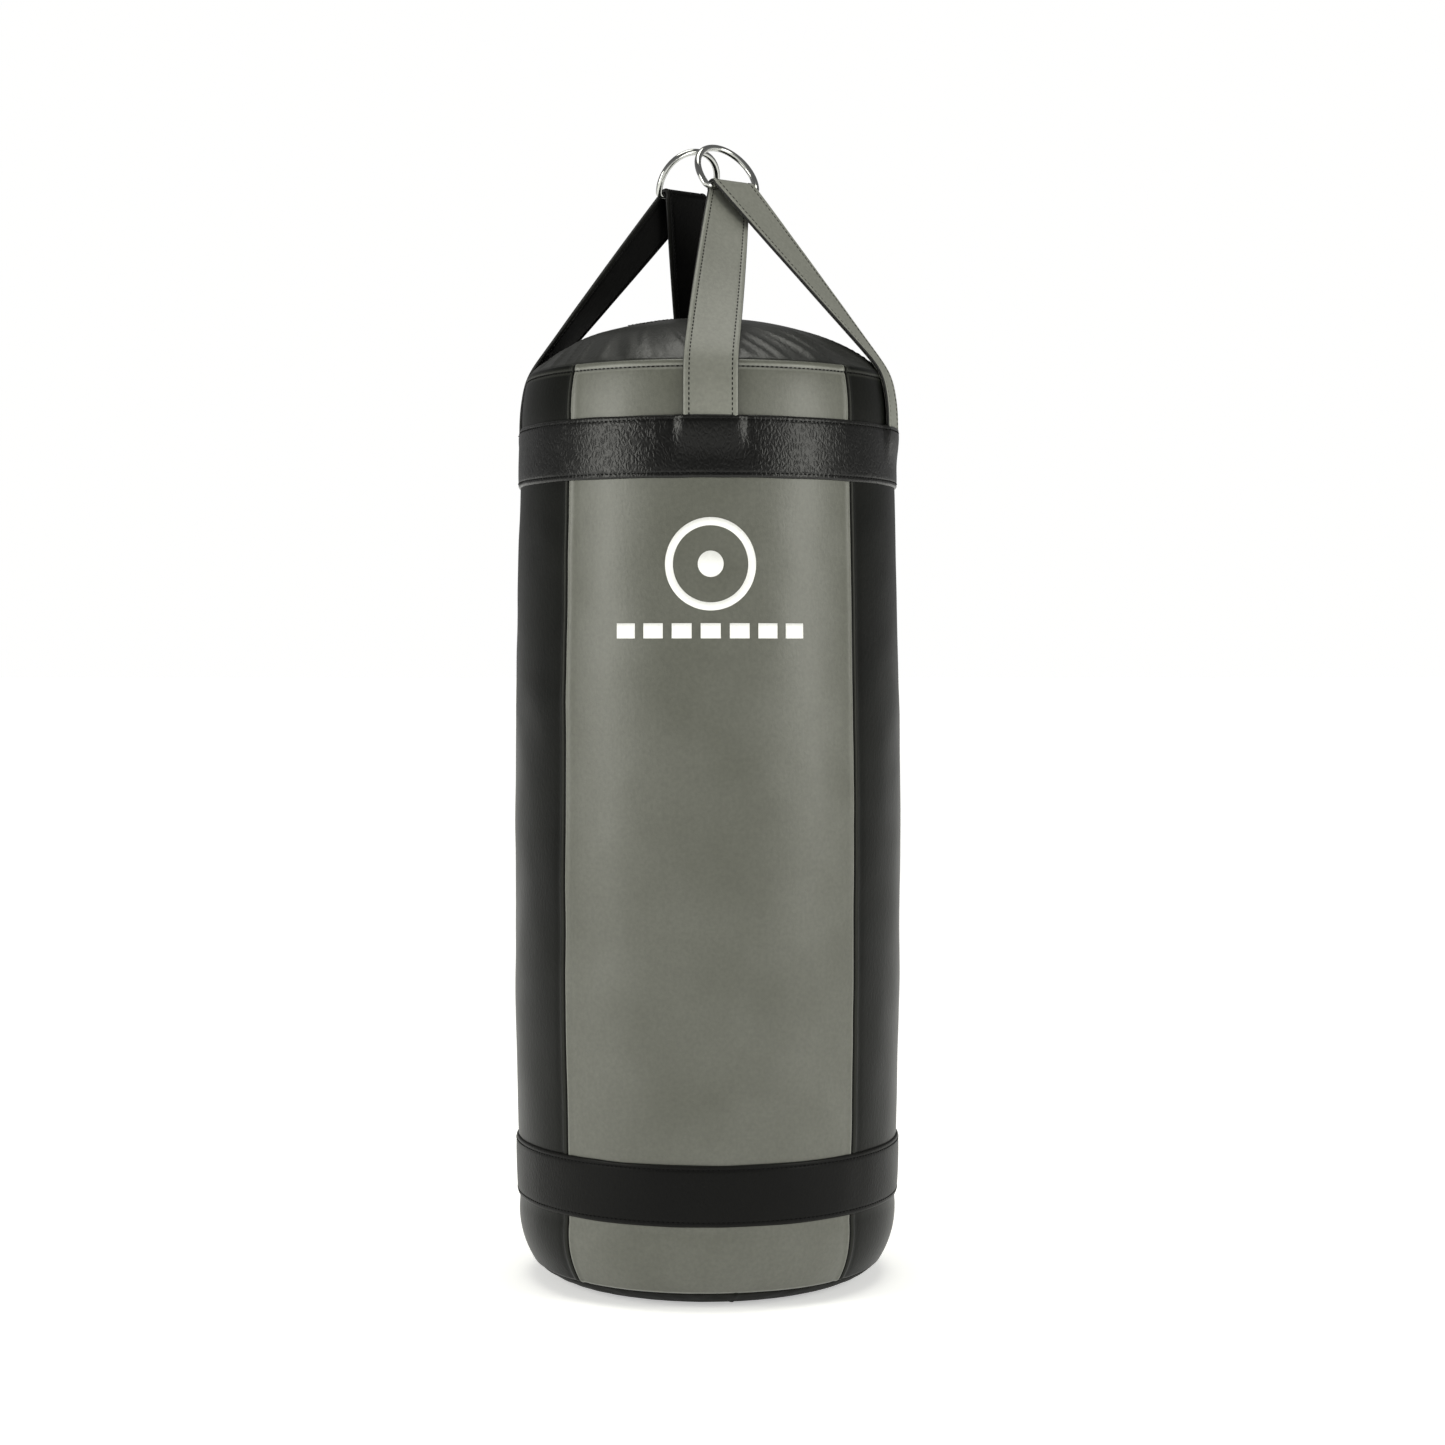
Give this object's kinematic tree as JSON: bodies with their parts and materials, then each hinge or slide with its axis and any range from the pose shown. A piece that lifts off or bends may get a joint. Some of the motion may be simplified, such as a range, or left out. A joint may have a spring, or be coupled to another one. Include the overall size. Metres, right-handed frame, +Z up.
{
  "type": "hanging heavy bag",
  "caption": "Filled cylindrical heavy bag in panelled vinyl with sewn-on bands and a zipped lid, hung from D-rings by doubled strap legs.",
  "frame": {"origin": "centre of the flat base, on the surface the bag stands on", "axes": "+Z up along the bag's axis; the printed front panel faces -Y; +X is to the right as seen from the front"},
  "size_m": [0.408, 0.4082, 1.1909],
  "materials": {
    "grey_vinyl": "satin",
    "black_vinyl": "satin",
    "grained_vinyl": "satin",
    "grey_strap_vinyl": "satin",
    "black_strap_vinyl": "satin",
    "black_webbing": "matte",
    "chromed_steel": "polished",
    "woven_tape": "matte",
    "nylon_coil": "satin",
    "zip_metal": "satin",
    "board": "matte",
    "canvas": "matte",
    "foam": "matte",
    "textile": "matte",
    "white_ink": "matte"
  },
  "bodies": {
    "bag": {"back_panel": "grey_vinyl", "back_strap_end": "black_strap_vinyl", "base_board": "board", "base_panel": "black_vinyl", "canvas_liner": "canvas", "foam_base_pad": "foam", "foam_top_pad": "foam", "foam_wrap": "foam", "front_panel": "grey_vinyl", "front_strap_end": "grey_strap_vinyl", "left_panel": "black_vinyl", "left_strap_end": "black_strap_vinyl", "lower_band": "grained_vinyl", "printed_mark": "white_ink", "right_panel": "black_vinyl", "right_strap_end": "grey_strap_vinyl", "sand_bag_1": "canvas", "sand_bag_2": "canvas", "sand_bag_3": "canvas", "seam_tape_back_left": "woven_tape", "seam_tape_back_right": "woven_tape", "seam_tape_front_left": "woven_tape", "seam_tape_front_right": "woven_tape", "textile_fill_lower": "textile", "textile_fill_middle": "textile", "textile_fill_upper": "textile", "top_lid": "black_vinyl", "upper_band": "grained_vinyl", "zip_coil_left": "nylon_coil", "zip_coil_right": "nylon_coil", "zip_stops": "zip_metal", "zip_tape_left": "woven_tape", "zip_tape_right": "woven_tape"},
    "grey_strap": {"grey_strap_backing": "grey_strap_vinyl", "grey_strap_face": "grey_strap_vinyl", "grey_strap_webbing": "black_webbing"},
    "black_strap": {"black_strap_backing": "black_strap_vinyl", "black_strap_face": "black_strap_vinyl", "black_strap_webbing": "black_webbing"},
    "grey_ring": {"grey_ring": "chromed_steel"},
    "black_ring": {"black_ring": "chromed_steel"},
    "zip_slider": {"zip_slider": "zip_metal"},
    "zip_pull": {"zip_pull": "zip_metal"}
  },
  "joints": [
    {"name": "grey_strap_lean", "type": "hinge", "parent": "bag", "child": "grey_strap", "pos_m": [0.09271, -0.11867, 0.948], "axis": [0.788, 0.6157, 0], "range_deg": [0, 50], "deforming": ["front_strap_end", "right_strap_end"]},
    {"name": "black_strap_lean", "type": "hinge", "parent": "bag", "child": "black_strap", "pos_m": [-0.09271, 0.11867, 0.948], "axis": [-0.788, -0.6157, 0], "range_deg": [0, 50], "deforming": ["back_strap_end", "left_strap_end"]},
    {"name": "grey_ring_swing", "type": "hinge", "parent": "grey_strap", "child": "grey_ring", "pos_m": [0.02493, -0.03191, 1.142], "axis": [0.788, 0.6157, 0], "range_deg": [-4, 100]},
    {"name": "black_ring_swing", "type": "hinge", "parent": "black_strap", "child": "black_ring", "pos_m": [-0.02493, 0.03191, 1.142], "axis": [-0.788, -0.6157, 0], "range_deg": [-4, 100]},
    {"name": "zip_travel", "type": "hinge", "parent": "bag", "child": "zip_slider", "pos_m": [0, 0, 0.598], "axis": [0.6157, -0.788, 0], "range_deg": [0, 22.98]},
    {"name": "zip_pull_flip", "type": "hinge", "parent": "zip_slider", "child": "zip_pull", "pos_m": [0.06463, 0.05049, 1.00141], "axis": [-0.6157, 0.788, 0], "range_deg": [0, 165]}
  ]
}
